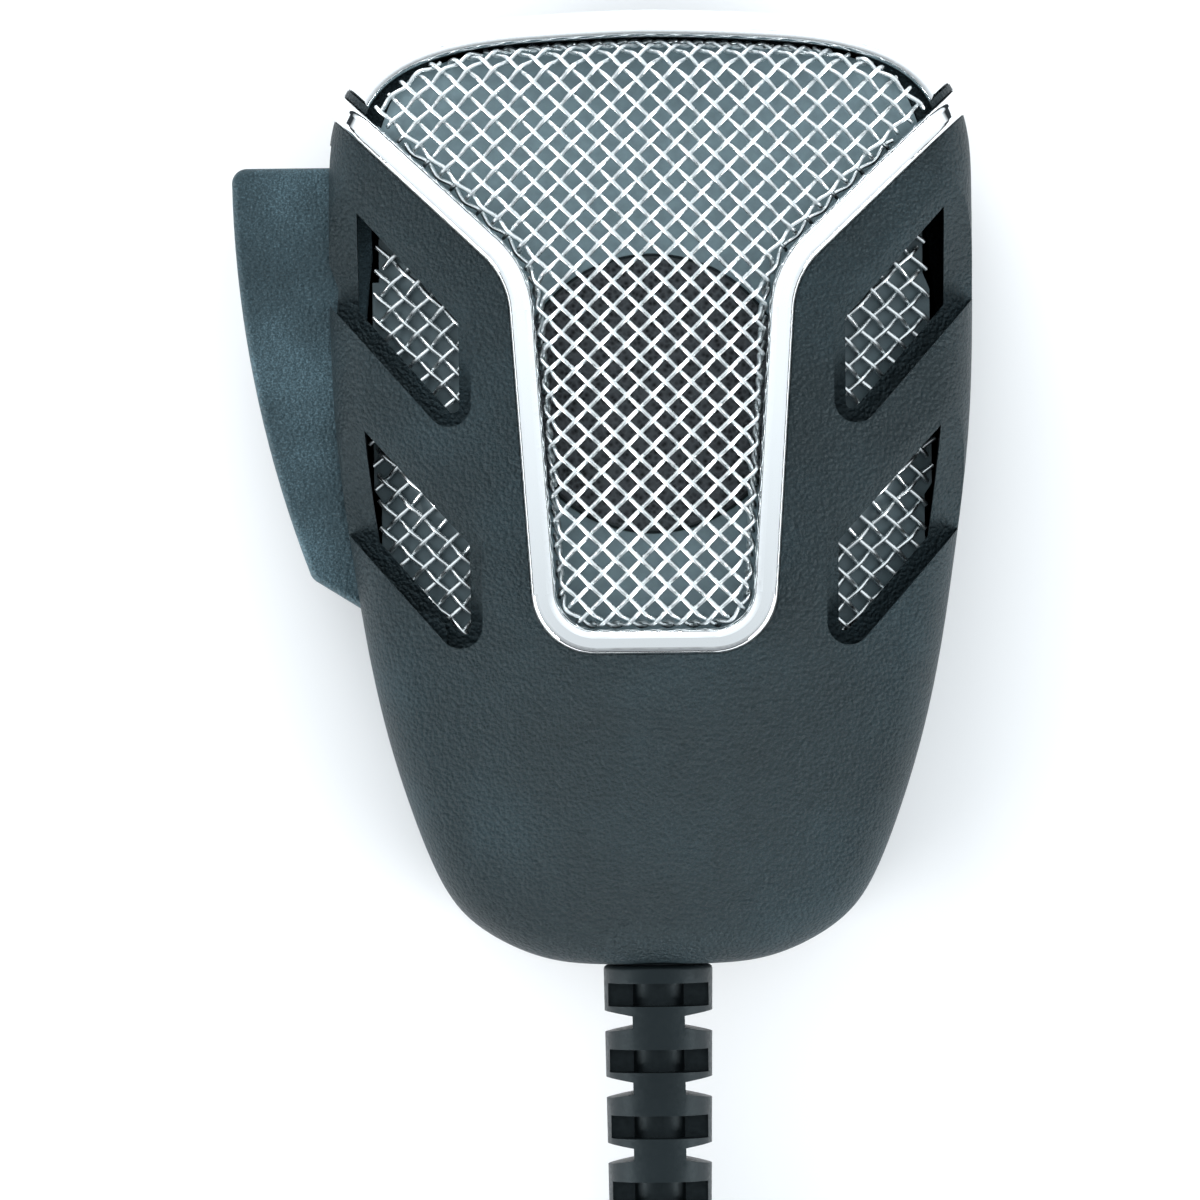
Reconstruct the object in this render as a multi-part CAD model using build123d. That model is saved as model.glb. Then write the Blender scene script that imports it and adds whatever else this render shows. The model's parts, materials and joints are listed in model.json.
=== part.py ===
from build123d import *
import math
import os

# Hand microphone on a curly cord. Millimetres. The microphone lies on its back: +Z is the face
# with the grille, +Y the top end, and the desk it lies on is z = 0.
# Shapes are drawn from the middle of the body's length. save() then moves them so that
# the frame's origin is the middle of the hang stud's flat tip.

# Body
half_width = 32.0            # widest half of the outline
top_length = 47.5            # middle of the body to its top end
bottom_length = 47.3         # middle of the body to its cord end
parting_z = 14.0             # plane where the two shells meet
face_z = 31.5                # highest point of the crowned face
crown_cross = 70.0           # radius of the face across the body
crown_long = 180.0           # radius of the face along the body
crown_y = 10.0               # where the face is highest
rim_radius = 6.0             # rounding between face and sides
back_rim = 3.5               # rounding between back and sides
wall = 2.4                   # wall of both shells
back_z = 5.0                 # flat upper back
step_top_y = -1.0            # the back curves down from here
step_low_y = -19.0           # to the heel, which rests on the desk from here on
fit = 0.05                   # gap between pieces that seat on each other
slip = 0.3                   # gap between pieces that only pass each other

# Face: Y-shaped opening, trims and woven grilles
leg_low_half = 9.45
leg_top_half = 11.85
leg_low_y = -13.9
shoulder_y = 21.9
arm_slope = 0.952
leg_corner = 4.0
shoulder_radius = 11.0
trim_width = 2.5
trim_proud = 0.6
trim_round = 0.8
arch_round = 0.6
rebate = 1.2                 # depth of the trims' seats in the shell
arch_width = 2.9
arch_gap = 0.7
trim_low_z = 16.5            # the trims end here on the sides
pan_inset = 0.5              # woven pan to trim
pan_sunk = 0.2               # woven pan below the face
pan_skirt = 3.4
mesh_thick = 0.42            # gauge of the woven wire

# Side louvres: inner edge, upper and lower corner of each pocket
upper_pocket = (17.9, 18.0, 2.6)
lower_pocket = (17.0, -4.0, -19.3)
pocket_top_slope = 1.1
pocket_low_slope = 1.135
pocket_corner = 2.2
pocket_cross = 56.0          # the pocket floors curve more than the face
pocket_drop = 2.0
pocket_wall = 1.4            # shell under the pockets
flank_slope = 0.8            # fall of the smooth flank under each rib
window_inset = 1.2
window_band = 2.7
window_side = 2.9
window_corner = 0.6
mesh_margin = 1.0
mesh_gap = 0.15              # side grilles to the shell

# Microphone element and its carrier
carrier_band = 4.2           # carrier beyond the opening
carrier_wall = 1.4
carrier_z = 21.6
carrier_plate = 1.5
element_y = 9.4
element_radius = 13.6
element_z = 14.2
element_cup_wall = 0.8
gasket_wall = 0.25

# Push-to-talk lever
pivot_x = -23.0
pivot_y = -14.5
pin_radius = 1.25
pin_low_z = 6.5
pin_high_z = 22.5
lever_low_z = 8.7
lever_high_z = 19.3
lever_wall = 1.6
lever_top_y = 32.3
lever_edge = 0.7
knuckle_radius = 3.0
slot_gap = 0.5
slot_top_y = 34.6
slot_low_y = -12.6
spring_y = 20.0
spring_radius = 2.2
spring_wire = 0.5
spring_turns = 6
spring_seat_x = -18.0        # the spring's fixed end
spring_lever_x = -37.6       # the spring's end in the lever

# Switch, board and their fixings
board_z = 9.6
board_thick = 1.6
board_half = 15.5
board_low_y = -24.0
board_high_y = 31.0
switch_x = -19.5             # face of the switch that its plunger comes out of
switch_y = -2.0
switch_size = (6.4, 13.0, 5.8)
plunger_out = 1.9
plunger_radius = 0.9
board_screw_spots = [(-12.5, 28.0), (12.5, 28.0), (-12.5, -21.0), (12.5, -21.0)]
screw_radius = 1.3
screw_head = 2.6
screw_head_high = 1.7
screw_sunk = 2.6             # depth of the housing screws' counterbores
screw_reach = 6.0            # how far they go into the front shell
boss_radius = 3.0
upper_screw = (13.0, 42.3)
lower_screw = (16.5, -34.0)

# Hang stud on the back
stud_y = 18.0
stud_head = 6.25
stud_head_high = 2.0
stud_neck = 3.5

# Strain relief and cord
cable_radius = 2.1
relief_start = 5.45
relief_end = 4.9
relief_core = 2.6
relief_pitch = 6.6
relief_rings = 6
relief_length = 44.0
relief_slot = 2.3
relief_rim = 0.4             # rubber left beside each slot
relief_web = 1.2             # rubber left between front and back slots
relief_notch = 1.2
relief_flare = 2.5
relief_first_slot = 3.1
relief_first_notch = 5.8
neck_radius = 4.0
neck_flange = 6.0
clamp_screw_radius = 1.0
clamp_from_end = 9.4         # clamp bar to the body's cord end
clamp_screw_x = 6.0
curl_radius = 7.0
lead_route = [(0, -91.1, 14), (0.3, -102, 13.8), (2.6, -113, 12.2), (7.2, -123, 9.4), (12.2, -133, 7.3),
              (16, -143.5, 7)]
curl_route = [(16, -143.5, 7), (18.4, -170, 7), (18, -198, 7), (17.6, -223, 7), (5.2, -236.4, 7),
              (-13.2, -236, 7), (-25.9, -222.8, 7), (-26.5, -197, 7), (-25.8, -168, 7), (-26, -142, 7)]
tail_route = [(-26, -142, 7), (-26.1, -137, 7.2), (-25.9, -131.5, 8.3), (-26, -126, 9.5)]
plug_x = -26.0
plug_low_y = -126.0
plug_z = 9.5
plug_radius = 8.2
ring_radius = 9.5
ring_length = 15.0
plug_boot_length = 10.0
plug_body_length = 17.0
plug_wall = 1.3


def right_edge():
    """Right half of the body's outline, from the top end round to the cord end."""
    w, t, b = half_width, top_length, bottom_length
    return Spline((0, t), (0.297 * w, 0.9937 * t), (0.534 * w, 0.981 * t), (0.731 * w, 0.948 * t),
                  (0.85 * w, 0.905 * t), (0.94 * w, 0.838 * t), (0.985 * w, 0.76 * t), (w, 0.62 * t),
                  (0.997 * w, 0.35 * t), (0.982 * w, 0.12 * t), (0.937 * w, -0.13 * b),
                  (0.862 * w, -0.43 * b), (0.722 * w, -0.745 * b), (0.58 * w, -0.905 * b),
                  (0.36 * w, -0.983 * b), (0, -b), tangents=[(1, 0), (-1, 0)])


def outline(grow):
    """Outline of the body, grown outwards by an even amount."""
    edge = right_edge()
    steps = 26
    right = []
    for i in range(steps + 1):
        spot = edge.position_at(i / steps)
        along = edge.tangent_at(i / steps)
        right.append((spot.X - along.Y * grow, spot.Y + along.X * grow))
    left = [(-x, y) for x, y in reversed(right[1:-1])]
    return make_face(Spline(*right, *left, periodic=True))


def prism(sketch, low=0.0, high=60.0):
    return extrude(Pos(0, 0, low) * sketch, high - low)


def dome(grow, cross=crown_cross, drop=0.0):
    """Solid under the crowned face: curved across with one radius, along with another."""
    centre = Pos(0, crown_y, face_z - drop - crown_long)
    return centre * Rot(0, 90, 0) * Torus(crown_long - cross, cross + grow)


def hull(grow, low=parting_z):
    """Front half of the body as a solid, grown by an even amount."""
    solid = prism(outline(grow), low) & dome(grow)
    rim = solid.edges().filter_by(lambda e: e.bounding_box().min.Z > low + 1 and e.length > 50)
    return fillet(rim, rim_radius + grow)


def both_sides(shape):
    return shape + mirror(shape, about=Plane.YZ)


def opening(grow=0.0):
    """Y-shaped opening of the face, open towards the top end."""
    far = half_width + 12
    arm_end = (leg_top_half + far, shoulder_y + far * arm_slope)
    half = make_face(Polyline((0, leg_low_y), (leg_low_half, leg_low_y), (leg_top_half, shoulder_y),
                              arm_end, (arm_end[0], arm_end[1] + 30), (0, arm_end[1] + 30),
                              (0, leg_low_y)))
    face = both_sides(half)
    corners = face.vertices().filter_by(lambda v: abs(abs(v.X) - leg_low_half) < 0.01)
    face = fillet(corners, leg_corner)
    face = fillet(face.vertices().filter_by(
        lambda v: abs(v.Y - shoulder_y) < 0.01 and abs(abs(v.X) - leg_top_half) < 0.01), shoulder_radius)
    return offset(face, grow, kind=Kind.ARC) if grow else face


def louvre(pocket, corner, inset=0.0, band=0.0):
    """Right-hand pocket or, inset, its window."""
    inner, top, low = pocket
    x = inner + inset
    far = half_width + 4
    top_y = top + inset * pocket_top_slope - band
    low_y = low + inset * pocket_low_slope + band
    shape = make_face(Polyline((x, low_y), (far, low_y + (far - x) * pocket_low_slope),
                               (far, top_y + (far - x) * pocket_top_slope), (x, top_y), (x, low_y)))
    return fillet(shape.vertices().filter_by(lambda v: v.X < x + 0.01), corner)


def window(pocket, margin=0.0):
    shape = louvre(pocket, window_corner, window_inset, window_band)
    if margin:
        return offset(shape, margin, kind=Kind.ARC)
    return shape & outline(-window_side)


def pocket_dome(grow):
    return dome(grow, pocket_cross, pocket_drop)


def pocket_cut(pocket):
    """What a pocket takes out of the shell: its upper wall is a long smooth flank."""
    inner, top, _ = pocket
    run = Vector(1, pocket_top_slope, 0).normalized()
    side = Vector(run.Y, -run.X, 0)
    behind = 1.0
    rise = Vector(0, 0, flank_slope * behind)
    start = Vector(inner - 6, top - 6 * pocket_top_slope, 0) - side * behind + rise
    sheet = Plane(origin=start, x_dir=run, z_dir=side) * (Pos(30, 0) * Rectangle(80, 100))
    above = sheet - Pos(rise) * dome(0)
    flank = extrude(above, amount=30, dir=(side.X, side.Y, -flank_slope))
    return (prism(louvre(pocket, pocket_corner), parting_z + 2) & flank) - pocket_dome(0)


def front_screw_bosses():
    spots = [(upper_screw, carrier_z - slip), (lower_screw, face_z)]
    bosses = Part()
    for (x, y), top in spots:
        bosses += Pos(x, y, parting_z) * extrude(Circle(boss_radius), top - parting_z)
    return both_sides(bosses)


def front_screw_holes():
    holes = Part()
    for x, y in (upper_screw, lower_screw):
        holes += Pos(x, y, parting_z - 1) * extrude(Circle(screw_radius), screw_reach + 1.5)
    return both_sides(holes)


def lever_slot():
    """Room for the lever in the left wall of both shells."""
    low = lever_low_z - slot_gap
    high = lever_high_z + slot_gap
    side = make_face(Polyline((-half_width - 6, slot_low_y), (-half_width + 8, slot_low_y),
                              (-half_width + 8, slot_top_y), (-half_width - 6, slot_top_y),
                              (-half_width - 6, slot_low_y)))
    return prism(side, low, high)


def neck_hole():
    spot = Pos(0, -bottom_length, parting_z) * Rot(90, 0, 0)
    hole = spot * Cylinder(neck_radius + fit, 16)
    seat = Pos(0, -bottom_length + wall + 1.9, parting_z) * Rot(90, 0, 0) * Cylinder(neck_flange + fit, 2.2)
    return hole + seat


def front_shell():
    solid = hull(0) - hull(-wall, parting_z - 1)
    under = pocket_dome(-pocket_wall)
    room = hull(-wall / 2)
    for pocket in (upper_pocket, lower_pocket):
        zone = prism(offset(louvre(pocket, pocket_corner), mesh_margin, kind=Kind.ARC), parting_z + 2)
        solid += both_sides((zone - under) & room)
        solid -= both_sides(pocket_cut(pocket))
        solid -= both_sides(prism(window(pocket), parting_z))
    solid += (front_screw_bosses() + pivot_boss(lever_high_z + slip, face_z)) & room
    seat = (opening(trim_width + fit) & outline(1)) - opening()
    arch = (outline(1) - outline(-arch_width - fit)) & opening(-arch_gap + fit)
    ledge = hull(-rebate, parting_z - 1)
    for sketch in (seat, arch):
        solid -= prism(sketch, trim_low_z) - ledge
    solid -= prism(opening() & outline(-arch_width), carrier_z)
    return solid - front_screw_holes() - lever_slot() - neck_hole() - pivot_hole()


def pivot_boss(low, high, grow=0.0):
    return Pos(pivot_x, pivot_y, low) * extrude(Circle(pin_radius + 1.2 + grow), high - low)


def pivot_hole():
    return Pos(pivot_x, pivot_y, pin_low_z) * extrude(Circle(pin_radius), pin_high_z - pin_low_z)


def back_block(grow):
    """Back half of the body, with its step down to the heel."""
    high = parting_z + (1 if grow else 0)
    level = -grow
    far_top = top_length + 10
    far_low = -bottom_length - 10
    curve = Spline((step_top_y, back_z + level), (step_low_y, level), tangents=[(-1, 0), (-1, 0)])
    lines = Polyline((step_low_y, level), (far_low, level), (far_low, high), (far_top, high),
                     (far_top, back_z + level), (step_top_y, back_z + level))
    side = make_face([curve, lines])
    upright = Plane(origin=(-60, 0, 0), x_dir=(0, 1, 0), z_dir=(1, 0, 0))
    slab = extrude(upright * side, 120)
    solid = prism(outline(grow), -1, high) & slab
    rim = solid.edges().filter_by(lambda e: e.bounding_box().max.Z < high - 1 and e.length > 12
                                  and abs(e.bounding_box().size.Y) > 5)
    return fillet(rim, back_rim + grow)


def back_shell():
    solid = back_block(0) - back_block(-wall)
    for spot in (upper_screw, lower_screw):
        solid += both_sides(screw_post(spot))
    for x, y in board_screw_spots:
        low = floor_z(y) + 1
        solid += Pos(x, y, low) * extrude(Circle(boss_radius - 0.6), board_z - low)
    solid += pivot_boss(2.0, lever_low_z - slip)
    for spot in (upper_screw, lower_screw):
        solid -= both_sides(screw_passage(spot))
    for x, y in board_screw_spots:
        solid -= Pos(x, y, board_z - 3.4) * extrude(Circle(screw_radius), 5)
    solid -= Pos(0, stud_y, 0) * extrude(Circle(screw_radius), board_z)
    return solid - lever_slot() - neck_hole() - pivot_hole()


def floor_z(y):
    return back_z if y > step_top_y else 0.0


def screw_post(spot):
    low = floor_z(spot[1]) + 1
    return Pos(spot[0], spot[1], low) * extrude(Circle(boss_radius + 0.6), parting_z - low)


def screw_passage(spot):
    low = floor_z(spot[1])
    wide = Pos(spot[0], spot[1], low - 1) * extrude(Circle(screw_head + slip), screw_sunk + 1)
    return wide + Pos(spot[0], spot[1], low) * extrude(Circle(screw_radius + slip / 2), 20)


def screw(radius, head, head_high, length):
    """Screw with its head's underside at z = 0 and its shank upwards."""
    dome = Pos(0, 0, -head_high / 2) * Cylinder(head, head_high)
    dome = fillet(dome.edges().sort_by(Axis.Z)[0], head_high * 0.45)
    for turn in (0, 90):
        dome -= Pos(0, 0, -head_high) * Rot(0, 0, turn) * Box(head * 1.1, head * 0.24, head_high * 1.1)
    shank = Pos(0, 0, length / 2) * Cylinder(radius, length)
    return dome + chamfer(shank.edges().sort_by(Axis.Z)[-1], radius * 0.5)


def housing_screws():
    screws = []
    for spot in (upper_screw, lower_screw):
        low = floor_z(spot[1]) + screw_sunk
        one = screw(screw_radius, screw_head, screw_head_high, parting_z + screw_reach - low)
        for side in (-1, 1):
            screws.append(Pos(side * spot[0], spot[1], low) * one)
    return Compound(screws)


def outer_edges(body, face):
    """Edges of a trim that lie on its polished outer surface."""
    def on_face(edge):
        spots = [edge.position_at(u) for u in (0.1, 0.5, 0.9)]
        return all(min(f.distance_to(spot) for f in face.faces()) < 0.01 for spot in spots)
    return [edge for edge in body.edges() if on_face(edge)]


def grille_trim():
    ring = opening(trim_width) - opening()
    ring = ring & outline(2)
    face = hull(trim_proud)
    body = prism(ring, trim_low_z) & (face - hull(-rebate + fit, parting_z - 1))
    body = body - prism(outline(2) - outline(-arch_width - 1) & opening(-arch_gap), trim_low_z)
    return fillet(outer_edges(body, face), trim_round)


def top_trim():
    band = (outline(2) - outline(-arch_width)) & opening(-arch_gap)
    face = hull(0)
    body = prism(band, trim_low_z) & (face - hull(-rebate + fit, parting_z - 1))
    return fillet(outer_edges(body, face), arch_round)


def pan_outline(grow):
    return opening(-pan_inset + grow) & outline(-arch_width - pan_inset + grow)


def centre_mesh():
    """Pan of woven wire: a crowned top with its edges turned down."""
    low = carrier_z + carrier_plate + fit
    outer = prism(pan_outline(0), low) & dome(-pan_sunk)
    inner = prism(pan_outline(-mesh_thick), low) & dome(-pan_sunk - mesh_thick)
    return outer - inner - dome(-pan_skirt)


def side_mesh():
    """Right-hand sheet of woven wire behind both windows."""
    zone = window(upper_pocket, mesh_margin) + window(lower_pocket, mesh_margin)
    sheet = prism(zone, lever_high_z + 2 * slip) & pocket_dome(-pocket_wall - mesh_gap)
    sheet = sheet - pocket_dome(-pocket_wall - mesh_gap - mesh_thick)
    return sheet & prism(outline(-wall - mesh_gap), parting_z)


def grille_carrier():
    room = hull(-wall - fit)
    outer = prism(opening(carrier_band) & outline(-wall - 1), carrier_z) & room
    inner = prism(opening(carrier_band - carrier_wall), carrier_z + carrier_plate)
    body = outer - inner
    return body - Pos(0, element_y, 0) * extrude(Circle(element_radius + gasket_wall + fit), 60)


def element_disc(radius, low, high):
    return Pos(0, element_y, low) * extrude(Circle(radius), high - low)


def cartridge_cup():
    top = carrier_z + carrier_plate - 1.0
    cup = element_disc(element_radius, element_z, top)
    cup = fillet(cup.edges().sort_by(Axis.Z)[0], 1.0)
    return cup - element_disc(element_radius - element_cup_wall, element_z + 1.0, top)


def cartridge_magnet():
    low = element_z + 1.0
    return element_disc(7.5, low, low + 5.0) + element_disc(4.0, low, low + 6.0)


def cartridge_cap():
    top = carrier_z + carrier_plate
    cap = element_disc(element_radius, top - 1.0, top)
    holes = Part()
    for count, radius in ((6, 4.0), (12, 8.5)):
        for i in range(count):
            turn = Rot(0, 0, 360 * i / count)
            holes += Pos(0, element_y, top - 1.0) * turn * Pos(radius, 0) * extrude(Circle(1.1), 1.0)
    return cap - holes


def cartridge_gasket():
    low = carrier_z - 2.0
    top = carrier_z + carrier_plate
    ring = element_disc(element_radius + gasket_wall, low, top) - element_disc(element_radius, low, top)
    return ring


def wind_screen():
    top = carrier_z + carrier_plate
    return element_disc(element_radius - 0.2, top, top + 0.9)


def cartridge_terminals():
    tabs = []
    for side in (-1, 1):
        tabs.append(Pos(side * 3, element_y, element_z - 0.9) * Box(1.8, 4.0, 1.8))
    return Compound(tabs)


def circuit_board():
    middle = (board_low_y + board_high_y) / 2
    sheet = RectangleRounded(board_half * 2, board_high_y - board_low_y, 2.5)
    board = Pos(0, middle, board_z) * extrude(sheet, board_thick)
    for x, y in board_screw_spots:
        board -= Pos(x, y, board_z) * extrude(Circle(screw_radius + slip / 2), board_thick)
    return board


def board_components():
    top = board_z + board_thick
    pieces = [Pos(4, -8, top + 0.8) * Box(5, 4, 1.6), Pos(-3.5, -19, top + 0.6) * Box(3.2, 1.6, 1.2),
              Pos(11, -10, top + 0.6) * Box(1.6, 3.2, 1.2), Pos(6, 27.5, top + 0.6) * Box(3.2, 1.6, 1.2)]
    for x, y in ((11, -3.5), (-1.5, -13)):
        pieces.append(Pos(x, y, top + 2.6 - 0.1) * Cylinder(2.2, 5.0))
    return Compound(pieces)


def board_screws():
    one = Rot(180, 0, 0) * screw(screw_radius, 2.3, 1.3, board_thick + 3.2)
    return Compound([Pos(x, y, board_z + board_thick) * one for x, y in board_screw_spots])


def lever_face(grow=0.0):
    """Outside shape of the push-to-talk lever, seen from the face."""
    corner = (-41.6, lever_top_y)
    tail = (-34.0, -8.6)
    outer = ThreePointArc(corner, (-40.1, 14.0), tail)
    rest = Polyline(tail, (-29.2, -11.6), (-26.3, -12.0), (-26.8, -2.0), (-27.9, 31.0), (-27.9, lever_top_y),
                    corner)
    face = make_face([outer, rest])
    spots = [v for v in face.vertices() if (v.X < -33)]
    face = fillet(spots, 1.5)
    return offset(face, grow, kind=Kind.ARC) if grow else face


def ptt_lever():
    high = lever_high_z - lever_low_z
    block = Pos(0, 0, lever_low_z) * extrude(lever_face(), high)
    outside = block.edges().filter_by(lambda e: e.center().X < -31 and abs(e.tangent_at(0.5).Z) < 0.1)
    block = fillet(outside, lever_edge)
    room = Pos(0, 0, lever_low_z + lever_wall) * extrude(
        lever_face(-lever_wall) + Pos(-30.0, 12.0) * Rectangle(7, 36), high - 2 * lever_wall)
    room = room & Pos(-30, 13, 14) * Box(40, 37, 40)
    block = block - room
    knuckle = Pos(pivot_x, pivot_y, lever_low_z) * extrude(Circle(knuckle_radius), high)
    web = make_face(Polyline((-29.2, -11.6), (-26.3, -12.0), (pivot_x - 2.6, pivot_y),
                             (pivot_x + 2.2, pivot_y + 1.6), (-25.4, -2.0), (-29.2, -2.0), (-29.2, -11.6)))
    block = block + knuckle + Pos(0, 0, lever_low_z) * extrude(web, high)
    lip = Pos(-28.3, 33.4, 14) * Box(0.8, 4.2, high)
    nub_x = switch_x - plunger_out - 0.3
    nub = Pos(nub_x - 3.0, switch_y, plunger_z()) * Box(6.0, 4.0, 4.0)
    rib = Pos(-32.2, switch_y, plunger_z()) * Box(12.0, 1.6, high - 2 * lever_wall)
    block = block + lip + nub + (rib & Pos(0, 0, lever_low_z) * extrude(lever_face(-0.4), high))
    return block - Pos(pivot_x, pivot_y, 0) * extrude(Circle(pin_radius + fit), 40)


def plunger_z():
    return board_z + board_thick + switch_size[2] / 2


def ptt_pin():
    length = pin_high_z - pin_low_z
    return Pos(pivot_x, pivot_y, pin_low_z + length / 2) * Cylinder(pin_radius, length)


def ptt_spring():
    length = spring_seat_x - spring_lever_x
    path = Helix(pitch=(length - spring_wire) / spring_turns, height=length - spring_wire,
                 radius=spring_radius, center=(0, 0, 0), direction=(0, 0, 1))
    coil = sweep(Plane(origin=path @ 0, z_dir=path % 0) * Circle(spring_wire / 2), path=path)
    return Pos(spring_lever_x + spring_wire / 2, spring_y, plunger_z()) * Rot(0, 90, 0) * coil


def spring_seat():
    top = board_z + board_thick
    post = Pos(spring_seat_x + 1.0, spring_y, top + 3.5) * Box(2.0, 7.0, 7.0)
    foot = Pos(spring_seat_x + 3.0, spring_y, top + 0.5) * Box(6.0, 7.0, 1.0)
    return post + foot


def switch_body():
    x, y, z = switch_size
    body = Pos(switch_x + x / 2, switch_y, plunger_z()) * Box(x, y, z)
    hole = Pos(switch_x, switch_y, plunger_z()) * Rot(0, 90, 0) * Cylinder(plunger_radius + fit, 6.0)
    body = chamfer(body.edges().filter_by(Axis.Z), 0.5)
    return body - hole


def switch_plunger():
    length = plunger_out + 1.4
    spot = Pos(switch_x - plunger_out + length / 2, switch_y, plunger_z())
    rod = spot * Rot(0, 90, 0) * Cylinder(plunger_radius, length)
    return fillet(rod.edges().sort_by(Axis.X)[0], 0.5)


def hang_stud():
    head = Pos(0, stud_y, stud_head_high / 2) * Cylinder(stud_head, stud_head_high)
    head = fillet(head.edges().sort_by(Axis.Z)[-1], 0.6)
    head = chamfer(head.edges().sort_by(Axis.Z)[0], 0.5)
    neck = Pos(0, stud_y, 0.5) * extrude(Circle(stud_neck), back_z - 0.5)
    shank = Pos(0, stud_y, 0.5) * extrude(Circle(screw_radius), board_z - slip - 0.5)
    return head + neck + shank


def stud_nut():
    low = back_z + wall
    nut = Pos(0, stud_y, low) * extrude(RegularPolygon(2.6, 6), board_z - low - slip)
    return nut - Pos(0, stud_y, low - 1) * extrude(Circle(screw_radius), 8)


def strain_relief():
    start = -bottom_length
    profile = make_face(Polyline((0, 0.15), (relief_start, 0.15), (relief_end, relief_length - 3),
                                 (relief_core + 1.0, relief_length), (0, relief_length), (0, 0.15)))
    solid = revolve(Plane.XY * profile, Axis.Y)
    solid = fillet(solid.edges().filter_by(lambda e: e.center().Y < 1), 0.5)
    slots = Part()
    for i in range(relief_rings):
        along = relief_first_slot + i * relief_pitch
        radius = relief_start + (relief_end - relief_start) * along / (relief_length - 3)
        for side in (-1, 1):
            middle = Pos(0, along, side * (relief_web / 2 + relief_start / 2))
            slots += middle * Box(2 * (radius - relief_rim), relief_slot, relief_start)
        notch = make_face(Polyline((relief_core, -relief_notch / 2), (relief_start + 1, -relief_flare / 2),
                                   (relief_start + 1, relief_flare / 2), (relief_core, relief_notch / 2),
                                   (relief_core, -relief_notch / 2)))
        along = relief_first_notch + i * relief_pitch
        slots += both_sides(Pos(0, along, -8) * extrude(notch, 16))
    slots = slots - Rot(90, 0, 0) * Cylinder(relief_core, 2 * relief_length + 10)
    solid = solid - slots
    neck = Rot(90, 0, 0) * Pos(0, 0, 2.5) * Cylinder(neck_radius, 5.4)
    flange = Pos(0, -wall - 1.9, 0) * Rot(90, 0, 0) * Cylinder(neck_flange, 2.0)
    solid = solid + neck + flange
    solid = solid - Rot(90, 0, 0) * Cylinder(cable_radius, 3 * relief_length)
    return Pos(0, start, parting_z) * Rot(0, 0, 180) * solid


def cord_inner():
    low = lead_route[0][1]
    high = -bottom_length + 13
    return Pos(0, (low + high) / 2, parting_z) * Rot(90, 0, 0) * Cylinder(cable_radius, high - low)


def cord_clamp():
    spot = Pos(0, -bottom_length + clamp_from_end, 0)
    bar = spot * Pos(0, 0, parting_z + 1.2) * Box(16, 4.4, 4.4)
    bar = bar - spot * Pos(0, 0, parting_z) * Rot(90, 0, 0) * Cylinder(cable_radius, 10)
    bar = bar - spot * Pos(0, 0, parting_z - 1.5) * Box(30, 10, 3.4)
    return bar - clamp_screw_holes()


def clamp_posts():
    spot = Pos(clamp_screw_x, -bottom_length + clamp_from_end, 1)
    return both_sides(spot * extrude(Circle(1.9), parting_z + 0.2 - 1)) - clamp_screw_holes()


def clamp_screw_holes():
    low = parting_z - 4.0
    spot = Pos(clamp_screw_x, -bottom_length + clamp_from_end, low)
    return both_sides(spot * extrude(Circle(clamp_screw_radius), 10))


def clamp_screws():
    one = Rot(180, 0, 0) * screw(clamp_screw_radius, 1.8, 1.1, 6.8)
    top = parting_z + 3.4
    y = -bottom_length + clamp_from_end
    return Compound([Pos(side * clamp_screw_x, y, top) * one for side in (-1, 1)])


def lead_wires():
    start_y = -bottom_length + 13.0
    wires = []
    for i in range(4):
        x = -1.2 + 0.8 * i
        end = (-4.5 + 3.0 * i, board_low_y + 2.0, board_z + board_thick)
        path = FilletPolyline((x, start_y, parting_z), (x, start_y + 2.0, parting_z),
                              (end[0], end[1] - 0.4, parting_z - 0.3), end, radius=0.6)
        wires.append(sweep(Plane(origin=path @ 0, z_dir=path % 0) * Circle(0.35), path=path))
    return Compound(wires)


def bend_radii(route):
    """Largest arc at each corner: 0.45 of the shorter run over the tangent of half the turn."""
    radii = []
    for a, b, c in zip(route, route[1:], route[2:]):
        first = Vector(*b) - Vector(*a)
        second = Vector(*c) - Vector(*b)
        half_turn = math.radians(first.get_angle(second)) / 2
        radii.append(0.45 * min(first.length, second.length) / math.tan(half_turn))
    return radii


def tube(name, route, radius):
    radii = bend_radii(route)
    path = FilletPolyline(*route, radius=radii)
    solid = sweep(Plane(origin=path @ 0, z_dir=path % 0) * Circle(radius), path=path)
    ideal = math.pi * radius ** 2 * path.length
    print(name, "length", round(path.length, 1), "radii", [round(r) for r in radii],
          "volume share", round(solid.volume / ideal, 4))
    return solid


def plug_at(along):
    """Place on the plug's axis, measured from its cable end."""
    return Pos(plug_x, plug_low_y + along, plug_z) * Rot(-90, 0, 0)


def plug_disc(radius, low, high):
    return plug_at(low) * extrude(Circle(radius), high - low)


def plug_boot():
    boot = plug_at(0) * revolve(Plane.XZ * make_face(Polyline(
        (0, 0), (cable_radius + 0.9, 0), (cable_radius + 2.2, plug_boot_length),
        (0, plug_boot_length), (0, 0))), Axis.Z)
    for i in range(3):
        low = 2.2 + 2.4 * i
        boot -= plug_disc(12, low, low + 1.0) - plug_disc(cable_radius + 0.7, low, low + 1.0)
    return boot - plug_disc(cable_radius, -1, plug_boot_length + 1)


def plug_cable():
    return plug_disc(cable_radius, 0, plug_boot_length + 4)


def plug_shell():
    low = plug_boot_length
    high = low + plug_body_length
    shell = plug_at(0) * revolve(Plane.XZ * make_face(Polyline(
        (0, low), (cable_radius + 3.4, low), (plug_radius, low + 6), (plug_radius, high),
        (0, high), (0, low))), Axis.Z)
    room = plug_disc(plug_radius - plug_wall, low + 7, high + 1)
    return shell - room - plug_disc(cable_radius, low - 1, high)


def plug_ring_low():
    return plug_boot_length + plug_body_length - 6.0


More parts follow.
